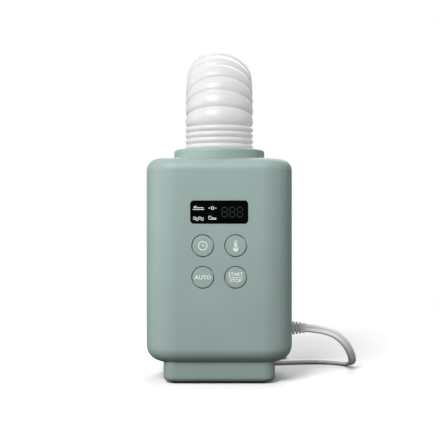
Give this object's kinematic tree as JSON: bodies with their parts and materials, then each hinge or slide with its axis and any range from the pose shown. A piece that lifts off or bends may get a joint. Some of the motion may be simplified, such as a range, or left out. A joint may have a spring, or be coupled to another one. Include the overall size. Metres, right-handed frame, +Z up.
{
  "type": "bedding dryer",
  "caption": "Hot-air bedding dryer: rounded case on a plinth with display and buttons, accordion hose arching over to a flat nozzle docked at the back.",
  "frame": {"origin": "on the standing surface, under the axis of the hose outlet", "axes": "+Z up, -Y towards the front with the display, +X to the right seen from the front, where the cord leaves"},
  "size_m": [0.2347, 0.263, 0.3691],
  "materials": {
    "body_plastic": "fine matt texture",
    "hose_plastic": "satin",
    "nozzle_plastic": "satin",
    "display_black": "glossy",
    "dark_plastic": "matt",
    "rubber": "matt",
    "board": "solder resist",
    "steel": "brushed",
    "duct_metal": "plain sheet",
    "mica": "layered mica",
    "heater_wire": "oxidised",
    "fan_plastic": "moulded",
    "cord_plastic": "soft satin",
    "filter_net": "woven net",
    "brass": "plated"
  },
  "bodies": {
    "case": {"base_plate": "dark_plastic", "base_screws": "steel", "board_screws": "steel", "case_screws": "steel", "control_board": "board", "cord_bushing": "cord_plastic", "cord_clamp": "dark_plastic", "cord_coil": "cord_plastic", "cord_tie": "dark_plastic", "display_module": "dark_plastic", "display_window": "display_black", "fan_motor": "steel", "filter_mesh": "filter_net", "foot_ring": "rubber", "front_case": "body_plastic", "heater_coils": "heater_wire", "heater_duct": "duct_metal", "heater_frame": "mica", "hose_cuff": "hose_plastic", "hose_lower": "hose_plastic", "main_board": "board", "mains_cord": "cord_plastic", "motor_mount": "steel", "nozzle_dock": "body_plastic", "outlet_collar": "body_plastic", "outlet_duct": "fan_plastic", "plinth": "body_plastic", "plug_blades": "brass", "plug_body": "cord_plastic", "power_components": "dark_plastic", "rear_case": "body_plastic", "scroll_front": "fan_plastic", "scroll_rear": "fan_plastic", "scroll_screws": "steel", "tact_switches": "dark_plastic", "thermal_fuse": "steel", "thermostat": "steel"},
    "button_timer": {"button_timer": "body_plastic"},
    "button_temperature": {"button_temperature": "body_plastic"},
    "button_auto": {"button_auto": "body_plastic"},
    "button_start": {"button_start": "body_plastic"},
    "impeller": {"impeller": "fan_plastic", "motor_shaft": "steel"},
    "filter_cover": {"filter_cover": "body_plastic"},
    "hose_1": {"hose_skin_1": "hose_plastic", "hose_ring_1": "hose_plastic"},
    "hose_2": {"hose_skin_2": "hose_plastic", "hose_ring_2": "hose_plastic"},
    "hose_3": {"hose_skin_3": "hose_plastic", "hose_ring_3": "hose_plastic"},
    "hose_4": {"hose_skin_4": "hose_plastic", "hose_ring_4": "hose_plastic"},
    "nozzle": {"hose_skin_5": "hose_plastic", "hose_end": "hose_plastic", "nozzle_collar": "nozzle_plastic", "nozzle_shell": "nozzle_plastic", "nozzle_grille": "nozzle_plastic", "flap_pin": "steel"},
    "flap": {"flap": "nozzle_plastic"}
  },
  "joints": [
    {"name": "timer_press", "type": "slide", "parent": "case", "child": "button_timer", "axis": [0, 1, 0], "range_m": [0, 0.0008], "stiffness_N_per_m": 400, "springref_m": -0.001},
    {"name": "temperature_press", "type": "slide", "parent": "case", "child": "button_temperature", "axis": [0, 1, 0], "range_m": [0, 0.0008], "stiffness_N_per_m": 400, "springref_m": -0.001},
    {"name": "auto_press", "type": "slide", "parent": "case", "child": "button_auto", "axis": [0, 1, 0], "range_m": [0, 0.0008], "stiffness_N_per_m": 400, "springref_m": -0.001},
    {"name": "start_press", "type": "slide", "parent": "case", "child": "button_start", "axis": [0, 1, 0], "range_m": [0, 0.0008], "stiffness_N_per_m": 400, "springref_m": -0.001},
    {"name": "impeller_spin", "type": "hinge", "parent": "case", "child": "impeller", "pos_m": [-0.021, 0, 0.0856], "axis": [0, 1, 0], "continuous": true},
    {"name": "filter_cover_turn", "type": "hinge", "parent": "case", "child": "filter_cover", "pos_m": [0, 0.0715, 0.0437], "axis": [-1, 0, 0], "range_deg": [0, 75]},
    {"name": "hose_bend_1", "type": "hinge", "parent": "case", "child": "hose_1", "pos_m": [0, 0.00284, 0.29202], "axis": [1, 0, 0], "range_deg": [0, 36], "deforming": ["hose_skin_1"]},
    {"name": "hose_bend_2", "type": "hinge", "parent": "hose_1", "child": "hose_2", "pos_m": [0, 0.02391, 0.32102], "axis": [1, 0, 0], "range_deg": [0, 36], "deforming": ["hose_skin_2"]},
    {"name": "hose_bend_3", "type": "hinge", "parent": "hose_2", "child": "hose_3", "pos_m": [0, 0.058, 0.3321], "axis": [1, 0, 0], "range_deg": [0, 36], "deforming": ["hose_skin_3"]},
    {"name": "hose_bend_4", "type": "hinge", "parent": "hose_3", "child": "hose_4", "pos_m": [0, 0.09209, 0.32102], "axis": [1, 0, 0], "range_deg": [0, 36], "deforming": ["hose_skin_4"]},
    {"name": "hose_bend_5", "type": "hinge", "parent": "hose_4", "child": "nozzle", "pos_m": [0, 0.11316, 0.29202], "axis": [1, 0, 0], "range_deg": [0, 36], "deforming": ["hose_skin_5"]},
    {"name": "flap_turn", "type": "hinge", "parent": "nozzle", "child": "flap", "pos_m": [0, 0.136, 0.18405], "axis": [1, 0, 0], "range_deg": [0, 70]}
  ],
  "couplings": [
    {"joint": "hose_bend_2", "follows": "hose_bend_1", "ratio": 1},
    {"joint": "hose_bend_3", "follows": "hose_bend_1", "ratio": 1},
    {"joint": "hose_bend_4", "follows": "hose_bend_1", "ratio": 1},
    {"joint": "hose_bend_5", "follows": "hose_bend_1", "ratio": 1}
  ]
}
